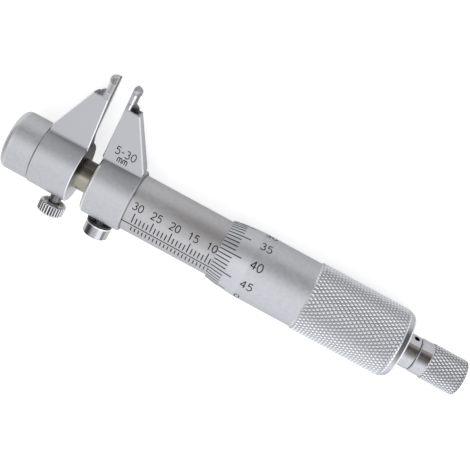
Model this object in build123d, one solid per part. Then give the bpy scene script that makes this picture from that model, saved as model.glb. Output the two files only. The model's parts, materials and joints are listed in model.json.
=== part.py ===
from build123d import *
import os
from math import atan2, cos, degrees, hypot, pi, sin, sqrt

# Inside micrometer with two caliper jaws, lying as it comes to rest, all sizes in millimetres.
# It is modelled on its own axis first: x runs along the tool from the jaws to the ratchet, with zero
# at the inner face of the fixed hub, y runs up the jaws, and z comes out of the jaws' front faces.
# At the end every piece is rolled about the axis and lifted, so that the jaw tips touch the ground.

# Measuring range, and the reading that the pieces are set to
lowest_reading = 5.0
highest_reading = 30.0
reading = 8.46
travel_out = highest_reading - reading
travel_in = reading - lowest_reading

# Clearances, all radial or on one side
slide_clearance = 0.03
seat_clearance = 0.02
thimble_clearance = 0.13
tooth_clearance = 0.05
pad_gap = 0.3

# Rod that carries the moving jaw, guide tube and graduated sleeve, one over another
rod_radius = 4.0
tube_wall = 1.97
tube_radius = rod_radius + slide_clearance + tube_wall
sleeve_wall = 1.34
sleeve_radius = tube_radius + seat_clearance + sleeve_wall

# Hubs and cap
fixed_hub_length = 10.85
fixed_hub_wall = 2.23
fixed_hub_radius = tube_radius + seat_clearance + fixed_hub_wall
hub_taper = 0.15
hub_round = 0.7
edge_break = 0.2
seam_break = 0.4
spigot_length = 2.6
spigot_gap = 1.0
spigot_wall = 1.2
spigot_end_gap = 0.4
spigot_radius = rod_radius + spigot_gap + spigot_wall
moving_hub_length = 10.6
moving_hub_wall = 1.83
moving_hub_radius = spigot_radius + moving_hub_wall
cap_length = 7.8
cap_skirt = 1.44
cap_radius = spigot_radius + cap_skirt
cap_round = 1.5
cap_wall = 2.4

# Jaw plates, with heights above the tool axis
root_drop = 1.05
root_height = fixed_hub_radius - root_drop
root_front_depth = 3.6
shoulder_height = 20.45
shoulder_front_depth = 2.25
plate_back_depth = 2.3
foot_clearance = 0.2
plate_foot = rod_radius + foot_clearance
fixed_plate_length = 10.4
fixed_heel_rise = 0.35
fixed_shoulder_reach = 3.45
fixed_inner_lean = 0.52
fixed_back_inset = 0.45
moving_plate_length = 10.3
moving_heel_rise = 0.95
moving_shoulder_reach = 4.82
moving_inner_lean = 0.88
relief_depth = 0.95
relief_drop = 2.43
relief_rise = 1.87
relief_foot = moving_hub_radius - relief_drop
relief_top = moving_hub_radius + relief_rise
relief_bend_rise = 0.45
relief_bend_share = 0.62
plate_edge_break = 0.35
front_break_start = 0.5

# Jaw tips
tip_height = 26.0
tip_half_depth = 2.2
fixed_tip_thickness = 1.7
moving_tip_thickness = 1.81
head_bulge = 0.22
head_step = 0.18
head_height = 1.8
head_round = 1.0
shoulder_round = 1.3
corner_overlap = 0.02

# Rod end, keyway and key
rod_edge_break = 0.4
rod_end_gap = 3.0
keyway_width = 2.0
keyway_depth = 1.1
keyway_overrun = 0.5
key_length = 4.2
key_tip_gap = 0.1
key_head_radius = 2.3
key_head_height = 1.0
key_screw_radius = 2.4
key_screw_sink = 0.25
key_screw_slot = 0.5

# Nut at the end of the guide tube, adjusting nut round it, and the sleeve's end, notch and top mark
tube_start = 1.2
nut_length = 11.5
nut_wall = 2.2
nut_slot_width = 0.8
nut_slot_length = 6.5
adjusting_nut_length = 4.5
adjusting_nut_wall = 1.2
adjusting_nut_inset = 1.2
adjusting_hole_radius = 0.6
sleeve_overrun = 3.0
sleeve_notch_width = 1.2
sleeve_notch_length = 0.6
sleeve_notch_depth = 0.4
sleeve_notch_angle = 56.6
top_mark_margin = 2.46

# Measuring screw and its coupling to the rod
screw_radius = 3.0
screw_lead_in = 1.0
coupling_gap = 1.0
neck_radius = 1.6
screw_head_radius = 2.5
screw_head_thickness = 1.6
socket_radius = 3.1
collar_length = 1.8
collar_slot_width = 0.5
collar_slot_depth = 0.5
ball_radius = 1.5
ball_gap = 0.04
shank_radius = 2.6
shank_end_gap = 0.3
stud_radius = 1.5
stud_length = 6.0

# Thimble, built up from the bore that runs over the sleeve
thimble_length = 50.4
thimble_bore_radius = sleeve_radius + thimble_clearance
nose_wall = 0.23
thimble_edge_radius = thimble_bore_radius + nose_wall
barrel_wall = 1.23
thimble_radius = thimble_bore_radius + barrel_wall
bevel_length = 8.2
bevel_swell = 0.16
grip_start = 24.0
grip_step = 0.45
grip_rise = 0.42
grip_radius = thimble_radius + grip_rise
knurl_depth = 0.24
grip_end_length = 2.6
grip_end_drop = 1.14
grip_end_bend = 1.56
grip_end_sag = 0.22
thimble_end_radius = grip_radius - grip_end_drop
end_wall = 4.75
tube_end_gap = 1.5

# Ratchet stop
ratchet_radius = 4.38
ratchet_body_length = 4.0
ratchet_edge_break = 0.25
spanner_hole_radius = 0.75
spanner_hole_depth = 1.3
spanner_hole_place = 2.45
spanner_hole_angle = 14.5
knob_collar_radius = 4.48
knob_collar_length = 3.2
knob_radius = 4.76
knob_knurl_depth = 0.2
knob_grip_step = 0.3
knob_length = 12.8
knob_end_round = 0.75
knob_gap = 0.08
knob_bore_radius = 3.4
knob_web_start = 4.3
knob_web = 2.3
knob_end_radius = 2.7
journal_radius = 1.7
journal_flat = 1.35
journal_extra = 0.3
ring_radius = 3.1
ring_thickness = 1.2
tooth_count = 12
tooth_height = 0.35
tooth_width = 0.45
tooth_crest = 0.1
tooth_front_slope = 0.05
tooth_root_sink = 0.1
tooth_inner_radius = 2.05
spring_wire_radius = 0.22
spring_wire_sides = 6
spring_radius = 2.4
spring_turns = 2.5
end_screw_radius = 1.0
end_screw_head_radius = 2.2
end_screw_head_height = 1.0
end_screw_length = 4.0
end_screw_gap = 0.5
screwdriver_slot = 0.5

# Clamp screw on the fixed jaw, and thumb screw on the moving jaw
clamp_thread_radius = 1.5
pad_clearance = 0.1
clamp_pad_length = 1.0
clamp_knob_radius = 3.3
clamp_knob_height = 3.35
clamp_knob_edge = 0.25
washer_radius = 3.35
washer_thickness = 0.5
washer_lift = 0.42
clamp_shift = 0.15
clamp_knob_top = fixed_hub_radius + washer_lift + washer_thickness
thumb_place = 2.9
thumb_pad_length = 0.8
thumb_knob_radius = 3.4
thumb_lift = 2.12
thumb_knob_top = moving_hub_radius + thumb_lift
thumb_knob_height = 2.85
thumb_knob_edge = 0.3
thumb_flutes = 28
thumb_flute_depth = 0.22
thumb_dish_radius = 2.6
thumb_dish_depth = 0.7
thumb_shank_root = 0.5

# Places along the axis that several pieces share
fixed_head_x = fixed_tip_thickness + head_bulge - fixed_inner_lean
moving_head_reach = relief_depth + moving_tip_thickness + head_bulge
moving_face_x = fixed_head_x + moving_head_reach - reading
moving_seam_x = moving_face_x - moving_hub_length
cap_end_x = moving_seam_x - cap_length
top_mark_x = fixed_hub_length + top_mark_margin
thimble_edge_x = top_mark_x + travel_out
thimble_end_x = thimble_edge_x + thimble_length
end_wall_x = thimble_end_x - end_wall
tube_end_x = end_wall_x - travel_out - tube_end_gap
nut_start_x = tube_end_x - nut_length
thread_start_x = nut_start_x - travel_in - screw_lead_in
rod_end_x = thread_start_x - coupling_gap
rod_start_x = cap_end_x + cap_wall + rod_end_gap
ratchet_seam_x = thimble_end_x + ratchet_body_length
knob_start_x = ratchet_seam_x + knob_gap
knob_end_x = knob_start_x + knob_length
clamp_x = fixed_hub_length / 2 + clamp_shift
thumb_x = moving_face_x - thumb_place
key_x = fixed_hub_length / 2
far = 40.0


# Solids of revolution about the tool axis

def rod(start, end, radius):
    """Cylinder along the tool axis from one x to another."""
    return Pos(start, 0, 0) * Rot(0, 90, 0) * Cylinder(
        radius, end - start, align=(Align.CENTER, Align.CENTER, Align.MIN))


def turned(outline):
    """Revolve a closed outline of (x, radius) edges or points about the tool axis."""
    return revolve(make_face(outline), Axis.X)


def post(x, bottom, top, radius):
    """Cylinder along y from one height to another, standing at x."""
    return Pos(x, bottom, 0) * Rot(-90, 0, 0) * Cylinder(
        radius, top - bottom, align=(Align.CENTER, Align.CENTER, Align.MIN))


def rim_at(solid, x):
    """Circular edges of a turned solid that lie in the plane at x."""
    return solid.edges().filter_by(GeomType.CIRCLE).filter_by_position(Axis.X, x - 0.01, x + 0.01)


# Jaws

def front_depth(height):
    """How far a jaw plate's front stands before the axis: less and less towards its shoulder."""
    slope = (shoulder_front_depth - root_front_depth) / (shoulder_height - root_height)
    return root_front_depth + slope * (height - root_height)


def plate_between(front_points, back_edges):
    """Plate with straight walls from a front outline to a back outline with as many edges."""
    front = Wire(Polyline(*front_points, close=True).edges())
    return Solid.make_loft([front, Wire(back_edges)], ruled=True)


def break_front(plate, reach):
    """Break the front edges of a plate that lie above the hubs, on the side that reach points to."""
    face = plate.faces().sort_by(Axis.Z)[-1]
    side = 1 if reach > 0 else -1
    rim = [edge for edge in face.edges()
           if edge.center().Y > fixed_hub_radius and side * edge.center().X > side * reach]
    return chamfer(rim, plate_edge_break)


def on_front(x, y):
    return (x, y, front_depth(y))


def on_back(x, y):
    return (x, y, -plate_back_depth)


def tip_profile(inner_x, outer_x, half_depth):
    """Half round section of a tip in the x-z plane: flat inside, convex outside."""
    flat = Line((inner_x, 0, -half_depth), (inner_x, 0, half_depth))
    bow = ThreePointArc((inner_x, 0, half_depth), (outer_x, 0, 0), (inner_x, 0, -half_depth))
    return make_face([flat, bow])


def tip(inner_x, outer_x, side):
    """Tip bar with its domed measuring head; side is +1 or -1 for the way the head faces."""
    bar = extrude(Pos(0, root_height, 0) * tip_profile(inner_x, outer_x, tip_half_depth),
                  tip_height - root_height - head_round, dir=(0, 1, 0))
    head_x = outer_x + side * head_bulge
    head = extrude(Pos(0, tip_height - head_height, 0)
                   * tip_profile(inner_x, head_x, tip_half_depth + head_bulge / 2),
                   head_height, dir=(0, 1, 0))
    crown = head.edges().group_by(Axis.Y)[-1].filter_by(GeomType.CIRCLE)
    head = fillet(crown, head_round)
    under = head.edges().group_by(Axis.Y)[0].filter_by(GeomType.CIRCLE)
    head = chamfer(under, head_step)
    return bar, head


def hub(start, end, radius):
    """Hub with a slight taper, widest at the ratchet end."""
    return turned(Polyline((start, 0), (start, radius - hub_taper), (end, radius), (end, 0), close=True))


def make_fixed_jaw():
    body = hub(0, fixed_hub_length, fixed_hub_radius)
    body = fillet(rim_at(body, 0), hub_round)
    body = chamfer(rim_at(body, fixed_hub_length), seam_break)
    slope = fixed_inner_lean / (shoulder_height - root_height)
    inner = [(slope * (root_height - plate_foot), plate_foot), (-fixed_inner_lean, shoulder_height)]
    outer = [(fixed_shoulder_reach, shoulder_height),
             (fixed_plate_length, fixed_hub_radius + fixed_heel_rise),
             (fixed_plate_length, plate_foot)]
    back = [on_back(x, y) for x, y in inner] + [on_back(x - fixed_back_inset, y) for x, y in outer]
    plate = plate_between([on_front(x, y) for x, y in inner + outer],
                          Polyline(*back, close=True).edges())
    plate = break_front(plate, front_break_start)
    inner_x = -fixed_inner_lean
    bar, head = tip(inner_x, inner_x + fixed_tip_thickness, 1)
    jaw = body + plate + bar + head + shoulder_corner(inner_x, inner_x + fixed_tip_thickness, 1)
    jaw -= rod(-1, tube_start, rod_radius + slide_clearance)
    jaw -= rod(tube_start, fixed_hub_length + 1, tube_radius + seat_clearance)
    jaw -= post(clamp_x, -far, -rod_radius, clamp_thread_radius + slide_clearance)
    jaw -= Pos(key_x, 0, 0) * Rot(180, 0, 0) * Cylinder(
        key_screw_radius + seat_clearance, far, align=(Align.CENTER, Align.CENTER, Align.MIN))
    return jaw


def shoulder_corner(inner_x, outer_x, side):
    """Hollow corner where the convex side of a tip bar meets the plate's shoulder."""
    thickness = abs(outer_x - inner_x)
    bow_radius = (tip_half_depth ** 2 + thickness ** 2) / (2 * thickness)
    middle_x = outer_x - side * bow_radius
    inside = (middle_x + bow_radius - shoulder_round, shoulder_height - shoulder_round / 2, 0)
    wall = (middle_x + bow_radius - corner_overlap, shoulder_height + shoulder_round, 0)
    floor = (middle_x + bow_radius + shoulder_round, shoulder_height - corner_overlap, 0)
    hollow = RadiusArc(wall, floor, shoulder_round)
    section = make_face([hollow, Polyline(floor, (floor[0], inside[1], 0), inside,
                                          (inside[0], wall[1], 0), wall)])
    ring = revolve(section, Axis((middle_x, 0, 0), (0, 1, 0)))
    keep = Pos(inner_x, shoulder_height, 0) * Box(
        far, far, 2 * tip_half_depth,
        align=(Align.MIN if side > 0 else Align.MAX, Align.CENTER, Align.CENTER))
    return ring & keep


def make_moving_jaw():
    body = hub(moving_seam_x, moving_face_x, moving_hub_radius)
    body = chamfer(rim_at(body, moving_face_x) + rim_at(body, moving_seam_x), edge_break)
    face = moving_face_x
    bend_y = (relief_foot + relief_top) / 2 + relief_bend_rise
    bend_x = face - relief_depth * relief_bend_share
    heel_height = moving_hub_radius + moving_heel_rise
    relief = extrude(make_face([
        Line((face + 1, relief_foot, -far), (face, relief_foot, -far)),
        ThreePointArc((face, relief_foot, -far), (bend_x, bend_y, -far),
                      (face - relief_depth, relief_top, -far)),
        Polyline((face - relief_depth, relief_top, -far), (face - relief_depth, far, -far),
                 (face + 1, far, -far), (face + 1, relief_foot, -far))]), far, dir=(0, 0, 1))
    body -= relief
    lean_at_top = moving_inner_lean * (relief_top - root_height) / (shoulder_height - root_height)
    front = [(face, plate_foot), (face, root_height), (face - lean_at_top, relief_top),
             (face - moving_inner_lean, shoulder_height),
             (face - moving_shoulder_reach, shoulder_height),
             (face - moving_plate_length, heel_height),
             (face - moving_plate_length, plate_foot)]
    foot = on_back(face, relief_foot)
    top = on_back(face - relief_depth, relief_top)
    back = [Line(on_back(face, plate_foot), foot),
            ThreePointArc(foot, on_back(bend_x, bend_y), top)]
    rest = [top, on_back(face - relief_depth, shoulder_height),
            on_back(face - moving_shoulder_reach, shoulder_height),
            on_back(face - moving_plate_length, heel_height),
            on_back(face - moving_plate_length, plate_foot), on_back(face, plate_foot)]
    back += [Line(a, b) for a, b in zip(rest, rest[1:])]
    plate = plate_between([on_front(x, y) for x, y in front], back)
    plate = break_front(plate, face - moving_inner_lean)
    inner_x = face - relief_depth
    bar, head = tip(inner_x, inner_x - moving_tip_thickness, -1)
    jaw = body + plate + bar + head + shoulder_corner(inner_x, inner_x - moving_tip_thickness, -1)
    jaw -= rod(moving_seam_x - 1, moving_face_x + 1, rod_radius + seat_clearance)
    jaw -= rod(moving_seam_x - 1, moving_seam_x + spigot_length + spigot_end_gap,
               spigot_radius + seat_clearance)
    jaw -= post(thumb_x, -far, -rod_radius, clamp_thread_radius + slide_clearance)
    return jaw


def make_end_cap():
    """Cap over the outer end of the moving hub, with a spigot screwed into it."""
    spigot_end = moving_seam_x + spigot_length
    shell = turned(Polyline((cap_end_x, 0), (cap_end_x, cap_radius), (moving_seam_x, cap_radius),
                            (moving_seam_x, spigot_radius), (spigot_end, spigot_radius),
                            (spigot_end, 0), close=True))
    shell = fillet(rim_at(shell, cap_end_x), cap_round)
    seam = [edge for edge in rim_at(shell, moving_seam_x) if edge.radius > spigot_radius + edge_break]
    shell = chamfer(seam, edge_break)
    return shell - rod(cap_end_x + cap_wall, spigot_end + 1, rod_radius + spigot_gap)


# Rod, key and guide tube

def make_rod():
    """Rod that the moving jaw is clamped on, with a keyway behind and a socket at its end."""
    bar = rod(rod_start_x, rod_end_x, rod_radius)
    bar = chamfer(rim_at(bar, rod_start_x), rod_edge_break)
    socket_x = rod_end_x - socket_length()
    bar -= rod(socket_x, rod_end_x + 1, socket_radius)
    slot_start = key_x - key_length / 2 - travel_in - keyway_overrun
    slot_end = key_x + key_length / 2 + travel_out + keyway_overrun
    slot = Pos((slot_start + slot_end) / 2, 0, -rod_radius + keyway_depth) * Box(
        slot_end - slot_start, keyway_width, far, align=(Align.CENTER, Align.CENTER, Align.MAX))
    return bar - slot


def socket_length():
    """Depth of the rod's socket: ball, screw head and retaining collar one after another."""
    return 2 * (ball_radius + ball_gap) + screw_head_thickness + ball_gap + collar_length


def make_thrust_ball():
    centre = rod_end_x - socket_length() + ball_radius
    return Pos(centre, 0, 0) * Sphere(ball_radius)


def make_coupling_collar():
    """Threaded collar in the mouth of the socket, which holds the screw's head against the ball."""
    ring = rod(rod_end_x - collar_length, rod_end_x, socket_radius - seat_clearance)
    ring -= rod(rod_end_x - collar_length - 1, rod_end_x + 1, neck_radius + slide_clearance)
    return ring - Pos(rod_end_x, 0, 0) * Box(2 * collar_slot_depth, far, collar_slot_width)


def make_guide_key():
    """Key with a round head: its tongue runs in the keyway and stops the rod from turning."""
    tongue_width = keyway_width - 2 * slide_clearance
    tongue_foot = -rod_radius + keyway_depth - key_tip_gap
    tongue = Pos(key_x, 0, tongue_foot) * Box(
        key_length, tongue_width, tube_radius + tongue_foot,
        align=(Align.CENTER, Align.CENTER, Align.MAX))
    head = Pos(key_x, 0, -tube_radius) * Rot(180, 0, 0) * Cylinder(
        key_head_radius, key_head_height, align=(Align.CENTER, Align.CENTER, Align.MIN))
    return tongue + head


def make_key_screw():
    """Slotted grub screw that closes the key's hole behind the fixed hub."""
    top = tube_radius + key_head_height
    outer = fixed_hub_radius - hub_taper / 2 - key_screw_sink
    plug = Pos(key_x, 0, -top) * Rot(180, 0, 0) * Cylinder(
        key_screw_radius, outer - top, align=(Align.CENTER, Align.CENTER, Align.MIN))
    slot = Pos(key_x, 0, -outer) * Box(far, key_screw_slot, 2 * key_screw_slot)
    return plug - slot


def make_guide_tube():
    """Tube that the rod slides in, with the slit nut for the measuring screw at its far end."""
    nut_outer = screw_radius + nut_wall
    tube = rod(tube_start, nut_start_x, tube_radius) + rod(nut_start_x, tube_end_x, nut_outer)
    tube -= rod(tube_start - 1, nut_start_x - keyway_overrun, rod_radius + slide_clearance)
    tube -= rod(nut_start_x - 1, tube_end_x + 1, screw_radius + slide_clearance)
    for turn in (0, 120, 240):
        slit = Pos(tube_end_x - nut_slot_length / 2, 0, 0) * Box(
            nut_slot_length + 1, nut_slot_width, far,
            align=(Align.CENTER, Align.CENTER, Align.MIN))
        tube -= Rot(turn, 0, 0) * slit
    tube -= post(clamp_x, -far, -rod_radius, clamp_thread_radius + slide_clearance)
    tube -= Pos(key_x, 0, 0) * Box(key_length + 2 * slide_clearance, keyway_width, far,
                                   align=(Align.CENTER, Align.CENTER, Align.MAX))
    return tube


def make_adjusting_nut():
    """Ring nut that closes the slit nut round the screw, with holes for a pin spanner."""
    end = tube_end_x - adjusting_nut_inset
    inner = screw_radius + nut_wall + seat_clearance
    outer = inner + adjusting_nut_wall
    ring = rod(end - adjusting_nut_length, end, outer)
    ring = chamfer(rim_at(ring, end) + rim_at(ring, end - adjusting_nut_length), edge_break)
    ring -= rod(end - adjusting_nut_length - 1, end + 1, inner)
    for turn in (0, 180):
        ring -= Rot(turn, 0, 0) * post(end - adjusting_nut_length / 2, inner - 1, far,
                                       adjusting_hole_radius)
    return ring


def make_sleeve():
    """Graduated sleeve over the guide tube, butted against the fixed hub."""
    end = nut_start_x + sleeve_overrun
    tube = rod(fixed_hub_length, end, sleeve_radius)
    tube = chamfer(rim_at(tube, end), edge_break)
    tube -= rod(fixed_hub_length - 1, end + 1, tube_radius + seat_clearance)
    notch = Pos(fixed_hub_length, sleeve_radius, 0) * Box(
        2 * sleeve_notch_length, 2 * sleeve_notch_depth, sleeve_notch_width)
    return tube - Rot(sleeve_notch_angle, 0, 0) * notch


# Measuring screw and thimble

def make_measuring_screw():
    """Screw between the rod and the thimble: headed neck, threaded length and shank with a socket."""
    head_start = rod_end_x - collar_length - ball_gap / 2 - screw_head_thickness
    shank_end = thimble_end_x - shank_end_gap
    screw = rod(head_start, head_start + screw_head_thickness, screw_head_radius)
    screw += rod(head_start, thread_start_x, neck_radius)
    screw += rod(thread_start_x, end_wall_x, screw_radius)
    screw += rod(end_wall_x, shank_end, shank_radius)
    return screw - rod(thimble_end_x - stud_length - 1, shank_end + 1, stud_radius + seat_clearance)


def make_thimble():
    """Thimble: bevelled graduated nose, plain barrel, grip with room for its knurl, end wall."""
    inner = thimble_bore_radius
    root = grip_radius - knurl_depth
    bevel_end = thimble_edge_x + bevel_length
    grip_x = thimble_edge_x + grip_start
    round_x = thimble_end_x - grip_end_length
    nose_middle = (thimble_edge_x + bevel_length / 2,
                   (thimble_edge_radius + thimble_radius) / 2 + bevel_swell)
    shoulder = (round_x, root)
    end_edge = (thimble_end_x, thimble_end_radius)
    outline = [
        Polyline((end_wall_x, 0), (end_wall_x, inner), (thimble_edge_x, inner),
                 (thimble_edge_x, thimble_edge_radius)),
        ThreePointArc((thimble_edge_x, thimble_edge_radius), nose_middle,
                      (bevel_end, thimble_radius)),
        Polyline((bevel_end, thimble_radius), (grip_x, thimble_radius), (grip_x + grip_step, root),
                 shoulder),
        ThreePointArc(shoulder, (round_x + grip_end_bend, root - grip_end_sag), end_edge),
        Polyline(end_edge, (thimble_end_x, 0), (end_wall_x, 0))]
    barrel = turned(outline)
    return barrel - rod(end_wall_x - 1, thimble_end_x + 1, shank_radius + seat_clearance)


# Ratchet stop

def make_ratchet_body():
    """Polished body that clamps the thimble on the screw, with the journal for the knob."""
    journal_end = knob_start_x + knob_web_start + knob_web + journal_extra
    disc = rod(thimble_end_x, ratchet_seam_x, ratchet_radius)
    disc = chamfer(rim_at(disc, ratchet_seam_x), ratchet_edge_break)
    stud = rod(thimble_end_x - stud_length, thimble_end_x, stud_radius)
    journal = rod(ratchet_seam_x, journal_end, journal_radius)
    flats_end = knob_start_x + knob_web_start - tooth_height
    for side in (1, -1):
        journal -= Pos(ratchet_seam_x, 0, side * journal_flat) * Box(
            flats_end - ratchet_seam_x, far, far,
            align=(Align.MIN, Align.CENTER, Align.MIN if side > 0 else Align.MAX))
    hole = Rot(spanner_hole_angle, 0, 0) * post(
        thimble_end_x + spanner_hole_place, ratchet_radius - spanner_hole_depth, far,
        spanner_hole_radius)
    tapped = rod(journal_end - end_screw_length, journal_end + 1, end_screw_radius + seat_clearance)
    return disc + stud + journal - hole - tapped


def crown(face_x, side, start_angle):
    """Ring of saw teeth that stand on a face at x; side is the way along x that they point."""
    length = ring_radius - tooth_inner_radius
    half = tooth_width / 2
    root_x = face_x - side * tooth_root_sink
    crest_x = face_x + side * tooth_height
    steep = half - tooth_front_slope
    profile = Polyline((root_x, tooth_inner_radius, -half), (root_x, tooth_inner_radius, half),
                       (crest_x, tooth_inner_radius, steep),
                       (crest_x, tooth_inner_radius, steep - tooth_crest), close=True)
    tooth = extrude(make_face(profile), length, dir=(0, 1, 0))
    step = 360 / tooth_count
    return [Rot(start_angle + step * index, 0, 0) * tooth for index in range(tooth_count)]


def ratchet_ring_face():
    """x of the face that carries the ring's teeth, with their crests just clear of the knob's."""
    return knob_start_x + knob_web_start - 2 * tooth_height - tooth_clearance


def make_ratchet_ring():
    """Toothed ring, keyed on the journal by two flats, which the spring pushes at the knob."""
    face = ratchet_ring_face()
    ring = rod(face - ring_thickness, face, ring_radius)
    bore = rod(face - ring_thickness - 1, face + 1, journal_radius + slide_clearance)
    bore &= Pos(face, 0, 0) * Box(far, far, 2 * (journal_flat + slide_clearance))
    ring -= bore
    for tooth in crown(face, 1, 0):
        ring += tooth
    return ring


def make_ratchet_spring():
    """Compression spring between the ratchet body and the ring."""
    start = ratchet_seam_x + spring_wire_radius + seat_clearance
    end = ratchet_ring_face() - ring_thickness - spring_wire_radius - seat_clearance
    path = Pos(start, 0, 0) * Rot(0, 90, 0) * Helix((end - start) / spring_turns, end - start,
                                                    spring_radius)
    start_plane = Plane(origin=path @ 0, z_dir=path % 0)
    section = start_plane * RegularPolygon(spring_wire_radius, spring_wire_sides)
    return sweep(section, path)


def make_ratchet_knob():
    """Ratchet knob: plain collar, knurled grip, toothed web inside and an open end for the screw."""
    grip_x = knob_start_x + knob_collar_length
    web_x = knob_start_x + knob_web_start
    root = knob_radius - knob_knurl_depth
    knob = turned(Polyline((knob_start_x, 0), (knob_start_x, knob_collar_radius),
                           (grip_x, knob_collar_radius), (grip_x + knob_grip_step, root),
                           (knob_end_x, root),
                           (knob_end_x, 0), close=True))
    knob = chamfer(rim_at(knob, knob_start_x), ratchet_edge_break)
    knob = fillet(rim_at(knob, knob_end_x), knob_end_round)
    knob -= rod(knob_start_x - 1, web_x, knob_bore_radius)
    knob -= rod(web_x + knob_web, knob_end_x + 1, knob_end_radius)
    knob -= rod(web_x - 1, knob_end_x, journal_radius + slide_clearance)
    for tooth in crown(web_x, -1, 180 / tooth_count):
        knob += tooth
    return knob


def make_ratchet_screw():
    """Slotted screw in the journal's end, which keeps the knob on."""
    seat = knob_start_x + knob_web_start + knob_web + journal_extra
    head = rod(seat, seat + end_screw_head_height, end_screw_head_radius)
    head = chamfer(rim_at(head, seat + end_screw_head_height), edge_break)
    shank = rod(seat - end_screw_length + end_screw_gap, seat, end_screw_radius)
    slot = Pos(seat + end_screw_head_height, 0, 0) * Box(screwdriver_slot, far, screwdriver_slot)
    return head + shank - slot


# Clamp screw and thumb screw, which stand below the hubs

def pad(x, length):
    """Brass pad that is pressed on the rod below it."""
    top = -(rod_radius + pad_gap)
    return post(x, top - length, top, clamp_thread_radius - pad_clearance)


def make_clamp_screw():
    """Plain round-headed clamp screw on the fixed hub."""
    shank_top = -(rod_radius + pad_gap + clamp_pad_length)
    bottom = -(clamp_knob_top + clamp_knob_height)
    knob = post(clamp_x, bottom, -clamp_knob_top, clamp_knob_radius)
    knob = chamfer(knob.edges().filter_by(GeomType.CIRCLE), clamp_knob_edge)
    return knob + post(clamp_x, -clamp_knob_top, shank_top, clamp_thread_radius)


def make_clamp_washer():
    ring = post(clamp_x, -clamp_knob_top, washer_thickness - clamp_knob_top, washer_radius)
    return ring - post(clamp_x, -far, 0, clamp_thread_radius + slide_clearance)


def make_thumb_screw():
    """Thumb screw on the moving hub: fluted rim and a dished top round its shank."""
    shank_top = -(rod_radius + pad_gap + thumb_pad_length)
    bottom = -(thumb_knob_top + thumb_knob_height)
    knob = post(thumb_x, bottom, -thumb_knob_top, thumb_knob_radius)
    knob = chamfer(knob.edges().filter_by(GeomType.CIRCLE), thumb_knob_edge)
    valley = thumb_knob_radius - thumb_flute_depth
    corners = []
    for index in range(thumb_flutes):
        crest = 2 * pi * index / thumb_flutes
        dip = crest + pi / thumb_flutes
        corners.append((thumb_x + thumb_knob_radius * cos(crest), bottom - 1,
                        thumb_knob_radius * sin(crest)))
        corners.append((thumb_x + valley * cos(dip), bottom - 1, valley * sin(dip)))
    knob &= extrude(make_face(Polyline(*corners, close=True)), far, dir=(0, 1, 0))
    dish = post(thumb_x, -thumb_knob_top - thumb_dish_depth, 0, thumb_dish_radius)
    knob -= dish
    return knob + post(thumb_x, bottom + thumb_shank_root, shank_top, clamp_thread_radius)


# Assembly

def make_pieces():
    return {
        "fixed_jaw": make_fixed_jaw(),
        "guide_tube": make_guide_tube(),
        "sleeve": make_sleeve(),
        "adjusting_nut": make_adjusting_nut(),
        "guide_key": make_guide_key(),
        "key_screw": make_key_screw(),
        "moving_jaw": make_moving_jaw(),
        "end_cap": make_end_cap(),
        "spindle_rod": make_rod(),
        "thrust_ball": make_thrust_ball(),
        "coupling_collar": make_coupling_collar(),
        "measuring_screw": make_measuring_screw(),
        "thimble": make_thimble(),
        "ratchet_body": make_ratchet_body(),
        "ratchet_ring": make_ratchet_ring(),
        "ratchet_spring": make_ratchet_spring(),
        "ratchet_knob": make_ratchet_knob(),
        "ratchet_screw": make_ratchet_screw(),
        "clamp_screw": make_clamp_screw(),
        "clamp_washer": make_clamp_washer(),
        "clamp_pad": pad(clamp_x, clamp_pad_length),
        "thumb_screw": make_thumb_screw(),
        "thumb_pad": pad(thumb_x, thumb_pad_length),
    }


def rest_roll():
    """Angle that the jaws drop below the level when their tips and the thimble's grip touch ground."""
    back = tip_half_depth + head_bulge / 2
    low_y = tip_height - head_round
    reach = hypot(low_y, back)
    return degrees(atan2(grip_radius, sqrt(reach ** 2 - grip_radius ** 2)) - atan2(back, low_y))


def place(pieces):
    """Roll the tool on its axis, set it on the ground and centre it over the origin."""
    rolled = {name: Rot(-rest_roll(), 0, 0) * piece for name, piece in pieces.items()}
    boxes = [piece.bounding_box() for piece in rolled.values()]
    middle_x = (min(box.min.X for box in boxes) + max(box.max.X for box in boxes)) / 2
    middle_y = (min(box.min.Y for box in boxes) + max(box.max.Y for box in boxes)) / 2
    shift = Pos(-middle_x, -middle_y, -min(box.min.Z for box in boxes))
    print("roll", rest_roll(), "shift", shift.position)
    return {name: shift * piece for name, piece in rolled.items()}


def main():
    os.makedirs("parts", exist_ok=True)
    for name, piece in place(make_pieces()).items():
        export_step(piece, f"parts/{name}.step")


main()
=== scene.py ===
import json
from math import cos, hypot, pi, radians, sin

import bmesh
import bpy
from mathutils import Matrix, Vector


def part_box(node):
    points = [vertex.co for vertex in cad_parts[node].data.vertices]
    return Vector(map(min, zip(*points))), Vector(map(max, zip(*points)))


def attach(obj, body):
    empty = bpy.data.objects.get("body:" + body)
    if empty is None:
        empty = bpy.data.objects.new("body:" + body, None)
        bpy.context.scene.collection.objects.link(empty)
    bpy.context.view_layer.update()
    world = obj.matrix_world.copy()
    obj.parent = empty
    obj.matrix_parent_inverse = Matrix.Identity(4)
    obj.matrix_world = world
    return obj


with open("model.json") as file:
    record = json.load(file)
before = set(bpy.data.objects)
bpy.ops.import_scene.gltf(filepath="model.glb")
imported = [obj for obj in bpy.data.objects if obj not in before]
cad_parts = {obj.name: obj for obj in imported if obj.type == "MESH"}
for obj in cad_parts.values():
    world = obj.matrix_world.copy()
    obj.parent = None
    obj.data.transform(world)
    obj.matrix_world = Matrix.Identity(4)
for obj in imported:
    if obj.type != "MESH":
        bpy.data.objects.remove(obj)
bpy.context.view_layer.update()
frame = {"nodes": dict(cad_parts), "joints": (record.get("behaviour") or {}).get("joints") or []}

scene = bpy.context.scene
scene.view_settings.view_transform = "Standard"

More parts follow.
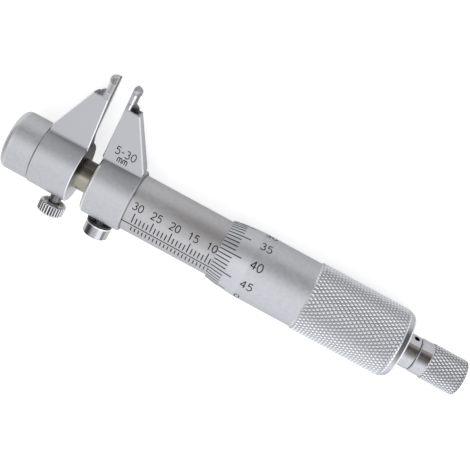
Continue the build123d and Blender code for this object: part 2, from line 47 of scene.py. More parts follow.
# The tool's own axes: x along it from the jaws to the ratchet, y up the jaws, z out of their
# fronts. Pieces are modelled on them in millimetres, with x zero at the fixed hub's inner face.
mm = 0.001
hubLength = 10.85
joints = {joint["name"]: joint for joint in frame["joints"]}
along = Vector((1, 0, 0))
upJaws = Vector(joints["clamp_press"]["axis"]).normalized()
outFront = along.cross(upJaws)
axisPoint = Vector(joints["thimble_turn"]["pos_m"])
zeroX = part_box("sleeve")[0].x - hubLength * mm
toolAxes = Matrix((along, upJaws, outFront)).transposed().to_4x4()
toolPlace = Matrix.Translation((zeroX, axisPoint.y, axisPoint.z)) @ toolAxes @ Matrix.Scale(mm, 4)


# Camera: it looks from between the jaws' front and their tips, turned on its own axis

camera = {
    "lean": 18.5,          # degrees from the jaws' front towards their tips
    "roll": 28.5,          # degrees that the tool's axis drops to the right in the picture
    "distance": 230.0,     # mm from the tool's axis
    "aimX": 36.65,         # mm along the tool
    "aimUp": 4.68,         # mm towards the tips
    "widthSeen": 115.6,    # mm across the picture at the axis
    "sensor": 36.0,        # mm
    "clipStart": 0.005,    # metres
    "clipEnd": 1000.0,
}


def makeCamera():
    lean = radians(camera["lean"])
    roll = radians(camera["roll"])
    towards = upJaws * sin(lean) + outFront * cos(lean)
    tipsWay = upJaws * cos(lean) - outFront * sin(lean)
    right = along * cos(roll) + tipsWay * sin(roll)
    up = tipsWay * cos(roll) - along * sin(roll)
    data = bpy.data.cameras.new("camera")
    data.sensor_width = camera["sensor"]
    data.lens = camera["sensor"] * camera["distance"] / camera["widthSeen"]
    data.clip_start = camera["clipStart"]
    data.clip_end = camera["clipEnd"]
    aim = toolPlace @ Vector((camera["aimX"], 0, 0)) + tipsWay * camera["aimUp"] * mm
    place = Matrix((right, up, towards)).transposed().to_4x4()
    place.translation = aim + towards * camera["distance"] * mm
    obj = bpy.data.objects.new("camera", data)
    obj.matrix_world = place
    scene.collection.objects.link(obj)
    scene.camera = obj


makeCamera()
print("camera placed")


# Materials. Every finish reads Object coordinates, brought to the tool's own axes in mm, so that a
# zone such as a polished band or a painted shade in a hollow keeps its place on the metal.

cloudEdges = (0.3, 0.7)          # noise at which a cloud turns from dark to light
cloudDetail = 3.0                # layers of noise in the clouds and in the grain
grainDetail = 2.0


def newMaterial(name):
    material = bpy.data.materials.new(name)
    material.use_nodes = True
    return material, material.node_tree.nodes["Principled BSDF"]


def addNode(tree, kind, *sources, **properties):
    # sources fill the inputs in order: a number or tuple sets one, an output is linked and None
    # skips one
    node = tree.nodes.new(kind)
    for key, value in properties.items():
        setattr(node, key, value)
    for socket, source in zip(node.inputs, sources):
        if isinstance(source, bpy.types.NodeSocket):
            tree.links.new(source, socket)
        elif source is not None:
            socket.default_value = source
    return node


def calculate(tree, operation, *sources):
    return addNode(tree, "ShaderNodeMath", *sources, operation=operation).outputs["Value"]


def distanceFrom(tree, first, second):
    # how far off an axis a point lies, from its two offsets across that axis
    squares = calculate(tree, "MULTIPLY_ADD", first, first,
                        calculate(tree, "MULTIPLY", second, second))
    return calculate(tree, "SQRT", squares)


def easeBetween(tree, value, start, end):
    # 0 before start, 1 past end; with end below start it falls instead
    ease = addNode(tree, "ShaderNodeMapRange", value, start, end, interpolation_type="SMOOTHSTEP")
    return ease.outputs["Result"]


def blendColours(tree, factor, first, second):
    first, second = ((*colour, 1) if isinstance(colour, tuple) else colour
                     for colour in (first, second))
    return addNode(tree, "ShaderNodeMixRGB", factor, first, second).outputs["Color"]


def toolPoints(tree):
    # Object coordinates in mm on the tool's own axes
    coords = addNode(tree, "ShaderNodeTexCoord").outputs["Object"]
    turned = toolAxes.to_3x3().transposed()
    moved = -(turned @ toolPlace.translation) / mm
    return addNode(tree, "ShaderNodeMapping", coords, moved, turned.to_euler(),
                   (1 / mm, 1 / mm, 1 / mm)).outputs["Vector"]


def noiseOn(tree, points, perMm, stretch=(1, 1, 1), detail=cloudDetail):
    # noise of so many cells per mm, squeezed along its axes by stretch
    stretched = addNode(tree, "ShaderNodeMapping", points, None, None, stretch).outputs["Vector"]
    noise = addNode(tree, "ShaderNodeTexNoise", stretched)
    noise.inputs["Scale"].default_value = perMm
    noise.inputs["Detail"].default_value = detail
    return noise.outputs["Fac"]


# Sloping surfaces of the plates, which zones and figures are placed by: both plates' front faces,
# and the edge of the moving plate that faces the fixed one

plateFront = {"rootHeight": 7.2, "rootDepth": 3.6, "shoulderHeight": 20.45, "shoulderDepth": 2.25}
frontSlope = ((plateFront["rootDepth"] - plateFront["shoulderDepth"])
              / (plateFront["shoulderHeight"] - plateFront["rootHeight"]))
frontFoot = plateFront["rootDepth"] + frontSlope * plateFront["rootHeight"]
movingEdge = {"rootHeight": 7.05, "rootX": -4.08, "shoulderHeight": 20.45, "shoulderX": -4.96}
innerSlope = ((movingEdge["rootX"] - movingEdge["shoulderX"])
              / (movingEdge["shoulderHeight"] - movingEdge["rootHeight"]))
innerFoot = -movingEdge["rootX"] - innerSlope * movingEdge["rootHeight"]


def zoneShare(tree, points, zone):
    # each limit names a measure, where the zone begins and where it is whole: x, y and z on the
    # tool's axes, r from the tool's axis, p from the zone's own upright axis, q in front of the
    # plates' front faces, e past the moving plate's inner edge
    x, y, z = addNode(tree, "ShaderNodeSeparateXYZ", points).outputs
    share = zone.get("share", 1.0)
    for measure, start, end in zone["limits"]:
        if measure == "r":
            value = distanceFrom(tree, y, z)
        elif measure == "p":
            value = distanceFrom(tree, calculate(tree, "SUBTRACT", x, zone["uprightAt"]), z)
        elif measure == "q":
            value = calculate(tree, "SUBTRACT", calculate(tree, "MULTIPLY_ADD", y, frontSlope, z),
                              frontFoot)
        elif measure == "e":
            value = calculate(tree, "MULTIPLY_ADD", y, innerSlope,
                              calculate(tree, "ADD", x, innerFoot))
        else:
            value = {"x": x, "y": y, "z": z}[measure]
        share = calculate(tree, "MULTIPLY", share, easeBetween(tree, value, start, end))
    return share


satin = {
    "light": (0.65, 0.655, 0.665),
    "dark": (0.59, 0.595, 0.605),
    "rough": (0.42, 0.49),
    "cloudsPerMm": 1.1,
    "grainPerMm": 9.0,
    "grainStretch": (1, 1, 1),
    "grainStrength": 0.25,
    "grainDepth": 0.00001,               # metres
}
polished = {
    "light": (0.64, 0.64, 0.645),
    "dark": (0.58, 0.58, 0.585),
    "rough": (0.08, 0.15),
    "cloudsPerMm": 0.5,
    "grainPerMm": 0.4,
    "grainStretch": (60, 1, 1),          # turning lines round the tool
    "grainStrength": 0.15,
    "grainDepth": 0.000004,
}
sleeveSatin = dict(satin, light=(0.615, 0.605, 0.6), dark=(0.555, 0.545, 0.54))
knurled = dict(satin, light=(0.93, 0.94, 0.95), dark=(0.86, 0.87, 0.88), rough=(0.2, 0.28))
screwSteel = dict(polished, grainStretch=(1, 60, 1))          # turning lines round the screws
groundRod = dict(polished, light=(0.56, 0.55, 0.53), dark=(0.48, 0.47, 0.45), rough=(0.2, 0.3),
                 grainStretch=(6, 1, 1))
turnedBrass = dict(screwSteel, light=(0.78, 0.60, 0.30), dark=(0.68, 0.50, 0.24),
                   rough=(0.25, 0.35))
ink = {
    "light": (0.018, 0.018, 0.02),
    "dark": (0.006, 0.006, 0.007),
    "rough": (0.55, 0.75),
    "cloudsPerMm": 5.0,
}
rubber = {
    "light": (0.02, 0.02, 0.021),
    "dark": (0.010, 0.010, 0.011),
    "rough": (0.22, 0.32),
    "cloudsPerMm": 1.5,
}

# Zones: what a stretch of metal takes on in place of its finish, and how much of it. Most are
# painted light: highlights, reflections and shade, in the colour.

# painted highlight: near white colour where an edge would catch the light
paintedEdgeHighlight = {"colour": (0.97, 0.97, 0.97), "rough": 0.3}
# painted shade: near black colour in hollows and recesses where shade falls
paintedHollowShade = {"colour": (0.05, 0.043, 0.04), "rough": 0.35}
seamDark = {"colour": (0.1, 0.1, 0.1), "rough": 0.4, "share": 0.5}

onMovingJaw = ("x", -3.5, -4.0)
clearOfHub = ("y", 9.5, 10.5)
flatOfTip = [("x", -5.12, -5.08), ("x", -3.0, -3.5)]          # side that faces the fixed tip
besideEdge = [("x", -5.3, -5.12), onMovingJaw]          # wall behind the moving plate's inner edge
endOfHub = [("x", -4.14, -4.1), onMovingJaw]          # the moving hub's inner end
overShoulder = ("y", 20.4, 20.5)
footOfTip = ("y", 20.3, 20.44)
headOfTip = ("y", 24.0, 24.4)
fixedTipX = -1.09          # upright axes that the hollows at the tips' feet curve round
movingTipX = -4.60

jawZones = [
    # shade in the crease where a plate meets its hub
    {"limits": [("y", 4.4, 7.1), ("z", 0.5, 2.0), ("r", 8.42, 8.3)],
     "colour": (0.16, 0.16, 0.165), "rough": 0.5, "share": 0.55},
    # plates' fronts, darker and finer than the hubs
    {"limits": [("q", -0.55, -0.4), ("y", 7.4, 7.6), ("y", 24.3, 24.1)],
     "colour": (0.49, 0.487, 0.5), "rough": 0.45, "share": 0.9},
    # painted highlights on the broken edges of the plates' fronts, then of the hubs' inner ends
    dict(paintedEdgeHighlight, limits=[("e", -0.24, -0.17), onMovingJaw, ("q", -0.4, -0.2), ("y", 7.3, 8.0),
                            ("y", 20.2, 20.0)]),
    dict(paintedEdgeHighlight, limits=[("q", -0.46, -0.36), ("q", 0.02, -0.1), ("y", 7.5, 8.0),
                            ("y", 20.2, 20.05)]),
    dict(paintedEdgeHighlight, limits=[("x", -4.3, -4.24), ("x", -4.0, -4.06), ("r", 7.6, 7.75),
                            ("r", 8.2, 8.1)], share=0.85),
    dict(paintedEdgeHighlight, limits=[("x", 0.85, 0.6), ("x", -0.3, -0.02), ("r", 7.2, 7.4),
                            ("y", 6.2, 5.6)]),
    # seam between the fixed hub and the sleeve
    dict(seamDark, limits=[("x", 10.66, 10.78)]),
    # both tips are polished, but for their front faces
    {"limits": [("y", 20.5, 20.7), ("y", 24.3, 24.15), ("z", 2.05, 1.85)],
     "colour": (0.66, 0.65, 0.645), "rough": 0.1},
    # moving tip: painted reflections, pale on its round side and grey on its flat side, with a
    # painted highlight on the front edge
    {"limits": [("y", 21.4, 22.1), ("x", -8.0, -7.6), ("x", -5.05, -5.15), ("z", 0.6, 0.9)],
     "colour": (0.95, 0.95, 0.97), "rough": 0.42},
    {"limits": [("y", 20.3, 20.5), *flatOfTip, ("z", 0.6, 0.4)],
     "colour": (0.4, 0.4, 0.41), "rough": 0.45, "share": 0.9},
    dict(paintedEdgeHighlight, limits=[("y", 20.0, 20.4), *flatOfTip, ("z", 0.4, 0.6)]),
    # fixed tip: painted reflections in grey, white and dark bands up its front
    {"limits": [overShoulder, ("x", -2.0, -1.6), ("x", 0.36, 0.26), ("z", 0.6, 0.9)],
     "colour": (0.39, 0.39, 0.4), "rough": 0.42},
    dict(paintedEdgeHighlight, limits=[overShoulder, ("x", 0.26, 0.36), ("x", 0.8, 0.7), ("z", 0.3, 0.6)]),
    {"limits": [overShoulder, ("x", 0.7, 0.8), ("x", 2.6, 2.4)],
     "colour": (0.33, 0.3, 0.3), "rough": 0.3},
    # tips' heads in painted shade, the moving one lighter, with a painted lighter band round both
    {"limits": [headOfTip], "colour": (0.38, 0.38, 0.385), "rough": 0.38, "share": 0.9},
    {"limits": [headOfTip, ("x", -5.1, -5.3)],
     "colour": (0.6, 0.6, 0.61), "rough": 0.42, "share": 0.9},
    {"limits": [("y", 24.95, 25.1), ("y", 25.4, 25.25)],
     "colour": (0.6, 0.6, 0.6), "rough": 0.38, "share": 0.55},
    # painted shade in the hollows at the tips' feet
    dict(paintedHollowShade, limits=[footOfTip, ("y", 22.1, 21.3), ("x", 0.6, 1.0), ("x", 3.0, 2.8)],
         share=0.8),
    dict(paintedHollowShade, limits=[footOfTip, ("y", 21.7, 21.2), ("p", 2.15, 2.4), ("x", 0.4, 1.2),
                             ("x", 3.6, 2.2)],
         colour=(0.02, 0.017, 0.016), uprightAt=fixedTipX),
    dict(paintedHollowShade, limits=[footOfTip, ("y", 22.0, 21.6), ("p", 2.15, 2.4), ("x", -6.1, -6.9)],
         uprightAt=movingTipX, share=0.75),
    # wall behind the moving plate's inner edge: painted highlight, then painted shade, darkest in
    # the relief beside the rod and on the hub's end above it, with a painted highlight lower on the
    # hub's end
    dict(paintedEdgeHighlight, limits=[("x", -5.6, -5.3), onMovingJaw, ("q", -1.5, -1.1), ("q", -0.1, -0.3),
                            clearOfHub], share=0.9),
    dict(paintedHollowShade, limits=[*besideEdge, ("q", -1.1, -1.5), ("q", -3.4, -3.0), clearOfHub],
         share=0.75),
    dict(paintedEdgeHighlight, limits=[*besideEdge, ("q", -3.1, -3.4), clearOfHub], share=0.8),
    dict(paintedHollowShade, limits=[*besideEdge, ("q", -0.45, -0.6), ("y", 11.8, 10.4), ("y", 5.0, 5.5)],
         colour=(0.03, 0.026, 0.025), share=0.97),
    dict(paintedHollowShade, limits=[*endOfHub, ("y", -1.5, 2.0), ("r", 7.75, 7.6)], share=0.9),
    dict(paintedEdgeHighlight, limits=[*endOfHub, ("y", -2.0, -4.0)], share=0.5),
]
capZones = [
    # rounded end a little brighter, a painted highlight
    {"limits": [("x", -20.4, -21.5)], "colour": (0.8, 0.8, 0.81), "rough": 0.42, "share": 0.9},
]
sleeveZones = [
    # painted shade: the metal a little darker and warmer towards the thimble
    {"limits": [("x", 10.0, 31.0), ("y", -0.5, 1.5), ("y", 7.4, 5.0), ("z", -0.5, 1.5)],
     "colour": (0.33, 0.312, 0.3), "rough": 0.45, "share": 0.5},
    # other side of the seam by the fixed hub
    dict(seamDark, limits=[("x", 11.12, 11.0)]),
]
thimbleZones = [
    # nose, and a painted highlight on the edge before the knurl
    {"limits": [("x", 43.15, 43.0)], "colour": (0.68, 0.685, 0.695), "rough": 0.42, "share": 0.7},
    dict(paintedEdgeHighlight, limits=[("x", 58.78, 58.9), ("x", 59.4, 59.25)]),
    # painted shade at the foot of the knurl, then the polished round end between painted
    # highlights, with painted shade on one side
    {"limits": [("x", 59.25, 59.4), ("x", 83.6, 83.4)], "colour": (0.42, 0.42, 0.43), "rough": 0.4},
    dict(paintedEdgeHighlight, limits=[("x", 83.2, 83.35), ("x", 83.75, 83.6)]),
    {"limits": [("x", 83.6, 83.75)], "colour": (0.6, 0.6, 0.61), "rough": 0.15},
    {"limits": [("x", 83.6, 83.75), ("x", 84.95, 84.85), ("y", -3.5, 2.0), ("y", 8.0, 5.5)],
     "colour": (0.1, 0.095, 0.09), "rough": 0.15, "share": 0.95},
    dict(paintedEdgeHighlight, limits=[("x", 84.85, 84.95), ("r", 7.6, 7.75)]),
]
knurlZones = [
    # painted shade at the feet of the diamonds on the thimble, then on the knob
    {"limits": [("r", 9.06, 8.9), ("r", 7.0, 7.5)], "colour": (0.42, 0.42, 0.43), "rough": 0.4},
    {"limits": [("r", 4.7, 4.56)], "colour": (0.24, 0.24, 0.25), "rough": 0.4},
]
ratchetZones = [
    # blind spanner hole, filled with painted shade
    dict(paintedHollowShade, colour=(0.01, 0.01, 0.01),
         limits=[("x", 86.7, 86.8), ("x", 88.7, 88.6), ("y", 2.0, 2.5), ("r", 4.33, 4.28)]),
]
knobZones = [
    # painted shade at the foot of the knurl behind a painted highlight
    {"limits": [("x", 92.65, 92.75), ("x", 102.0, 101.8), ("r", 4.3, 4.4)],
     "colour": (0.32, 0.32, 0.33), "rough": 0.4},
    dict(paintedEdgeHighlight, limits=[("x", 92.5, 92.58), ("x", 92.75, 92.68), ("r", 4.3, 4.4)]),
]
rodZones = [
    # film of old oil beside the moving hub, darkened also as painted shade, and painted shade on
    # the side under the plates
    {"limits": [("x", 4.0, 0.8)], "colour": (0.37, 0.352, 0.27), "rough": 0.26, "share": 0.9},
    {"limits": [("x", 4.5, 1.5), ("y", 0.3, 1.2)],
     "colour": (0.10, 0.088, 0.075), "rough": 0.22, "share": 0.9},
]

onThumb = ("x", -2.0, -2.5)
thumbX = -6.98          # upright axes of the two screws
clampX = 5.575
screwZones = [
    # thumb screw: dish painted light against its shade, shank in painted shade, flutes in painted
    # shade with painted highlights on the crests
    {"limits": [onThumb, ("p", 2.8, 2.6), ("y", -11.2, -11.0)],
     "colour": (0.8, 0.78, 0.77), "rough": 0.5, "share": 0.95, "uprightAt": thumbX},
    {"limits": [onThumb, ("p", 2.0, 1.8), ("y", -10.3, -10.0)],
     "colour": (0.12, 0.115, 0.11), "rough": 0.16, "share": 0.9, "uprightAt": thumbX},
    dict(paintedEdgeHighlight, limits=[onThumb, ("p", 3.28, 3.36), ("y", -12.8, -12.6)], uprightAt=thumbX),
    {"limits": [onThumb, ("p", 3.14, 3.2), ("p", 3.36, 3.22), ("y", -12.7, -12.5),
                ("y", -10.4, -10.5)],
     "colour": (0.045, 0.042, 0.04), "rough": 0.25, "share": 0.95, "uprightAt": thumbX},
    # clamp screw: painted highlight on the rim under the washer
    dict(paintedEdgeHighlight, limits=[("x", 1.5, 2.0), ("y", -9.75, -9.6), ("p", 2.9, 3.0)],
         uprightAt=clampX),
]
# Painted reflections in bands down the clamp screw's side: where each begins and ends, how far
# round it starts, its colour
paintedClampReflections = [
    (("x", 3.2, 3.45), ("x", 4.7, 4.5), ("z", 0.6, 1.2), (0.12, 0.11, 0.11)),
    (("x", 4.5, 4.7), ("x", 6.3, 6.0), ("z", 0.6, 1.2), (0.36, 0.34, 0.34)),
    (("x", 7.6, 7.7), ("x", 8.3, 8.15), ("z", 0.2, 0.5), (0.16, 0.15, 0.15)),
]
for *limits, colour in paintedClampReflections:
    screwZones.append({"limits": [*limits, ("y", -9.6, -9.8), ("p", 2.6, 2.8)], "colour": colour,
                       "rough": 0.15, "share": 0.85, "uprightAt": clampX})


def makeFinish(name, settings, zones=(), metallic=1.0, specular=0.5):
    # base colour and roughness in faint clouds, changed in the zones, over a fine grain
    material, shader = newMaterial(name)
    tree = material.node_tree
    points = toolPoints(tree)
    clouds = easeBetween(tree, noiseOn(tree, points, settings["cloudsPerMm"]), *cloudEdges)
    colour = blendColours(tree, clouds, settings["dark"], settings["light"])
    low, high = settings["rough"]
    rough = calculate(tree, "MULTIPLY_ADD", clouds, high - low, low)
    for zone in zones:
        share = zoneShare(tree, points, zone)
        colour = blendColours(tree, share, colour, zone["colour"])
        change = calculate(tree, "SUBTRACT", zone["rough"], rough)
        rough = calculate(tree, "MULTIPLY_ADD", share, change, rough)
    tree.links.new(colour, shader.inputs["Base Color"])
    tree.links.new(rough, shader.inputs["Roughness"])
    if "grainPerMm" in settings:
        grain = noiseOn(tree, points, settings["grainPerMm"], settings["grainStretch"], grainDetail)
        bump = addNode(tree, "ShaderNodeBump")
        bump.inputs["Strength"].default_value = settings["grainStrength"]
        bump.inputs["Distance"].default_value = settings["grainDepth"]
        tree.links.new(grain, bump.inputs["Height"])
        tree.links.new(bump.outputs["Normal"], shader.inputs["Normal"])
    shader.inputs["Metallic"].default_value = metallic
    shader.inputs["Specular IOR Level"].default_value = specular
    return material


capMaterial = makeFinish("satin_chrome", satin, capZones)
jawMaterial = makeFinish("jaw_chrome", satin, jawZones)
sleeveMaterial = makeFinish("sleeve_chrome", sleeveSatin, sleeveZones)
thimbleMaterial = makeFinish("thimble_chrome", satin, thimbleZones)
knurlMaterial = makeFinish("knurled_chrome", knurled, knurlZones)
steelMaterial = makeFinish("polished_steel", polished)
ratchetMaterial = makeFinish("ratchet_steel", polished, ratchetZones)
knobMaterial = makeFinish("knob_steel", polished, knobZones)
screwMaterial = makeFinish("screw_steel", screwSteel, screwZones)
rodMaterial = makeFinish("ground_rod", groundRod, rodZones)
brassMaterial = makeFinish("turned_brass", turnedBrass)
inkMaterial = makeFinish("black_ink", ink, metallic=0.0, specular=0.15)
washerMaterial = makeFinish("black_washer", rubber, metallic=0.0)

nodeMaterials = {
    capMaterial: ["end_cap"],
    sleeveMaterial: ["sleeve"],
    jawMaterial: ["fixed_jaw", "moving_jaw"],
    thimbleMaterial: ["thimble"],
    ratchetMaterial: ["ratchet_body"],
    steelMaterial: ["ratchet_ring", "ratchet_spring", "ratchet_screw", "adjusting_nut",
                    "measuring_screw", "coupling_collar", "thrust_ball", "guide_key", "key_screw",
                    "guide_tube"],
    knobMaterial: ["ratchet_knob"],
    screwMaterial: ["clamp_screw", "thumb_screw"],
    rodMaterial: ["spindle_rod"],
    brassMaterial: ["clamp_pad", "thumb_pad"],
    washerMaterial: ["clamp_washer"],
}
for material, names in nodeMaterials.items():
    for name in names:
        for materialSlot in frame["nodes"][name].material_slots:
            materialSlot.material = material
print("materials on", sum(len(names) for names in nodeMaterials.values()), "CAD nodes")


# Making pieces

def finishPiece(name, bm, material, body):
    # turns a bmesh in the tool's millimetres into a piece that rides on a body
    bmesh.ops.transform(bm, matrix=toolPlace, verts=bm.verts)
    bmesh.ops.recalc_face_normals(bm, faces=bm.faces)
    mesh = bpy.data.meshes.new(name)
    bm.to_mesh(mesh)
    bm.free()
    mesh.materials.append(material)
    obj = bpy.data.objects.new(name, mesh)
    scene.collection.objects.link(obj)
    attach(obj, body)
    print("made", name, len(mesh.polygons), "faces")


cameraSide = 71.5          # degrees from the jaws' way to the side that faces the camera


def wrapRound(bm, radiusAt, heightShare=None):
    # wraps flat work round the tool: x stays, y is degrees from the camera side towards the tips
    # and z stands out from the surface
    for vert in bm.verts:
        x, turn, rise = vert.co
        if heightShare:
            rise *= heightShare(x)
        angle = radians(cameraSide - turn)
        radius = radiusAt(x) + rise
        vert.co = (x, radius * cos(angle), radius * sin(angle))


def addBar(bm, low, high, longWay=0, cuts=0):
    # box from one corner to another, cut into shorter lengths along x (0) or y (1)
    low, high = Vector(low), Vector(high)
    size = high - low
    box = Matrix.Translation((low + high) / 2) @ Matrix.Diagonal((*size, 1))
    made = bmesh.ops.create_cube(bm, size=1, matrix=box)
    if cuts:
        edges = {edge for vert in made["verts"] for edge in vert.link_edges
                 if abs(edge.verts[0].co[longWay] - edge.verts[1].co[longWay]) > size[longWay] / 2}
        bmesh.ops.subdivide_edges(bm, edges=list(edges), cuts=cuts)


def degreesPerMm(radius):
    return 180 / (pi * radius)


# Numerals and letters, drawn with one stroke of the engraver's tool, one unit high

def bow(middle, radii, start, end, steps=9):
    # points on a stretch of an ellipse, between two angles in degrees
    turns = [radians(start + (end - start) * step / steps) for step in range(steps + 1)]
    return [(middle[0] + radii[0] * cos(turn), middle[1] + radii[1] * sin(turn)) for turn in turns]


strokes = {
    "0": [bow((0.32, 0.5), (0.30, 0.5), 90, 450, steps=18)],
    "1": [[(0.14, 0.78), (0.36, 1.0), (0.36, 0.0)]],
    "2": [bow((0.32, 0.71), (0.29, 0.29), 165, -30) + [(0.03, 0.0), (0.63, 0.0)]],
    "3": [bow((0.31, 0.77), (0.24, 0.23), 150, -85), bow((0.31, 0.27), (0.30, 0.27), 85, -150)],
    "4": [[(0.47, 0.0), (0.47, 1.0), (0.02, 0.30), (0.66, 0.30)]],
    "5": [[(0.58, 1.0), (0.14, 1.0), (0.09, 0.57)] + bow((0.31, 0.33), (0.30, 0.33), 125, -145)],
    "-": [[(0.0, 0.5), (0.38, 0.5)]],
    "m": [[(0.0, 0.0), (0.0, 1.0)],
          bow((0.24, 0.68), (0.24, 0.32), 180, 0, steps=6) + [(0.48, 0.0)],
          bow((0.72, 0.68), (0.24, 0.32), 180, 0, steps=6) + [(0.96, 0.0)]],
}
glyphWidth = {"m": 0.96, "-": 0.38}
usualWidth = 0.64           # of all other signs
longestStep = 0.12
strokeFineness = 1          # gives a stroke six sides


def inShortSteps(stroke):
    # the same stroke with points so close that it can be laid on a round surface
    points = [stroke[0]]
    for (x0, y0), (x1, y1) in zip(stroke, stroke[1:]):
        steps = max(1, round(hypot(x1 - x0, y1 - y0) / longestStep))
        points += [(x0 + (x1 - x0) * step / steps, y0 + (y1 - y0) * step / steps)
                   for step in range(1, steps + 1)]
    return points


def textLength(text, height, gap):
    letters = sum(glyphWidth.get(letter, usualWidth) * height for letter in text)
    return letters + gap * (len(text) - 1)


def strokeMesh(texts, strokeRadius, flatten):
    # mesh of texts given as (text, left x, base y, height, gap), laid flat
    curve = bpy.data.curves.new("strokes", "CURVE")
    curve.dimensions = "3D"
    curve.bevel_depth = strokeRadius
    curve.bevel_resolution = strokeFineness
    curve.use_fill_caps = True
    for text, left, base, height, gap in texts:
        for letter in text:
            for stroke in map(inShortSteps, strokes[letter]):
                spline = curve.splines.new("POLY")
                spline.points.add(len(stroke) - 1)
                for point, (x, y) in zip(spline.points, stroke):
                    point.co = (left + x * height, base + y * height, 0, 1)
            left += glyphWidth.get(letter, usualWidth) * height + gap
    holder = bpy.data.objects.new("strokes", curve)
    scene.collection.objects.link(holder)
    depsgraph = bpy.context.evaluated_depsgraph_get()
    mesh = bpy.data.meshes.new_from_object(holder.evaluated_get(depsgraph))
    bpy.data.objects.remove(holder)
    mesh.transform(Matrix.Diagonal((1, 1, flatten, 1)))
    return mesh


# Sleeve scale: index line, a mark each millimetre above it and each half below it, and numerals

sleeveScale = {
    "radius": 7.36,
    "topMarkX": 13.31,           # the mark of the top reading
    "topReading": 30,
    "lowReading": 5,
    "longEvery": 5,              # readings with a long mark and a numeral
    "halfStep": 0.5,
    "indexTurn": -43.3,          # degrees towards the tips, as for all places round the sleeve
    "indexEndX": 40.5,
    "upperFrom": -38.3,
    "shortTo": -24.9,
    "longTo": -17.3,
    "lowerFrom": -59.7,
    "lowerTo": -47.8,
    "markWidth": 0.27,
    "markRise": 0.012,
    "markSink": 0.05,
    "markCuts": 3,
    "numeralBase": -11.8,
    "numeralHeight": 1.8,
    "numeralGap": 0.33,
    "strokeRadius": 0.125,
    "strokeFlatten": 0.25,
}


def makeSleeveScale():
    s = sleeveScale
    bm = bmesh.new()
    half = s["markWidth"] / 2
    lineHalf = half * degreesPerMm(s["radius"])
    addBar(bm, (hubLength, s["indexTurn"] - lineHalf, -s["markSink"]),
           (s["indexEndX"], s["indexTurn"] + lineHalf, s["markRise"]))

    def addMark(x, start, end):
        addBar(bm, (x - half, start, -s["markSink"]), (x + half, end, s["markRise"]), longWay=1,
               cuts=s["markCuts"])

    texts = []
    for reading in range(s["lowReading"], s["topReading"] + 1):
        x = s["topMarkX"] + s["topReading"] - reading
        numbered = reading % s["longEvery"] == 0
        addMark(x, s["upperFrom"], s["longTo"] if numbered else s["shortTo"])
        if reading < s["topReading"]:
            addMark(x - s["halfStep"], s["lowerFrom"], s["lowerTo"])
        if numbered:
            left = x - textLength(str(reading), s["numeralHeight"], s["numeralGap"]) / 2
            texts.append((str(reading), left, 0, s["numeralHeight"], s["numeralGap"]))
    flat = strokeMesh(texts, s["strokeRadius"], s["strokeFlatten"])
    flat.transform(Matrix.Translation((0, s["numeralBase"], 0))
                   @ Matrix.Diagonal((1, degreesPerMm(s["radius"]), 1, 1)))
    bm.from_mesh(flat)
    wrapRound(bm, lambda x: s["radius"])
    finishPiece("sleeve_scale", bm, inkMaterial, "frame")


makeSleeveScale()


# Thimble scale: fifty divisions on the bevel, numerals beside every fifth

thimbleScale = {
    "edgeX": 34.85,
    "bevelEndX": 43.05,
    "edgeRadius": 7.72,
    "barrelRadius": 8.72,
    "swell": 0.16,               # how far the bevel's middle stands over a straight cone
    "divisions": 50,
    "longEvery": 5,
    "atIndex": 46.5,             # division that meets the sleeve's index line
    "startInset": 0.05,
    "shortEndX": 38.55,
    "longEndX": 40.6,
    "markWidth": 0.26,
    "markRise": 0.012,
    "markSink": 0.05,
    "markCuts": 5,
    "numeralX": 43.3,
    "numeralHeight": 2.08,
    "numeralGap": 0.38,
    "strokeRadius": 0.135,
    "strokeFlatten": 0.25,
}


def bevelRadius(x):
    # radius of the thimble's nose, which swells a little between its edge and the barrel
    s = thimbleScale
    share = min(max((x - s["edgeX"]) / (s["bevelEndX"] - s["edgeX"]), 0), 1)
    cone = s["edgeRadius"] + (s["barrelRadius"] - s["edgeRadius"]) * share
    return cone + 4 * s["swell"] * share * (1 - share)


def makeThimbleScale():
    s = thimbleScale
    bm = bmesh.new()
    lineHalf = s["markWidth"] / 2 * degreesPerMm((s["edgeRadius"] + s["barrelRadius"]) / 2)
    step = 360 / s["divisions"]
    texts = []
    for value in range(s["divisions"]):
        turn = sleeveScale["indexTurn"] - (value - s["atIndex"]) * step
        numbered = value % s["longEvery"] == 0
        end = s["longEndX"] if numbered else s["shortEndX"]
        addBar(bm, (s["edgeX"] + s["startInset"], turn - lineHalf, -s["markSink"]),
               (end, turn + lineHalf, s["markRise"]), cuts=s["markCuts"])
        if numbered:
            base = turn / degreesPerMm(s["barrelRadius"]) - s["numeralHeight"] / 2
            texts.append((str(value), s["numeralX"], base, s["numeralHeight"], s["numeralGap"]))
    flat = strokeMesh(texts, s["strokeRadius"], s["strokeFlatten"])
    flat.transform(Matrix.Diagonal((1, degreesPerMm(s["barrelRadius"]), 1, 1)))
    bm.from_mesh(flat)
    wrapRound(bm, bevelRadius)
    finishPiece("thimble_scale", bm, inkMaterial, "barrel")


makeThimbleScale()


# Range figures on the front of the fixed jaw

jawFigures = {
    "range": {"text": "5-30", "left": 1.85, "middle": 10.77, "height": 1.85, "gap": 0.38},
    "unit": {"text": "mm", "left": 3.25, "middle": 8.77, "height": 1.1, "gap": 0.34},
    "strokeRadius": 0.115,
    "strokeFlatten": 0.25,
}


def makeJawFigures():
    s = jawFigures
    texts = [(line["text"], line["left"], line["middle"] - line["height"] / 2, line["height"],
              line["gap"]) for line in (s["range"], s["unit"])]
    bm = bmesh.new()
    bm.from_mesh(strokeMesh(texts, s["strokeRadius"], s["strokeFlatten"]))
    for vert in bm.verts:          # laid on the sloping front
        vert.co.z += frontFoot - frontSlope * vert.co.y
    finishPiece("jaw_figures", bm, inkMaterial, "frame")


makeJawFigures()


# Knurls: rows of small truncated pyramids on a diamond plan, wrapped round a root surface

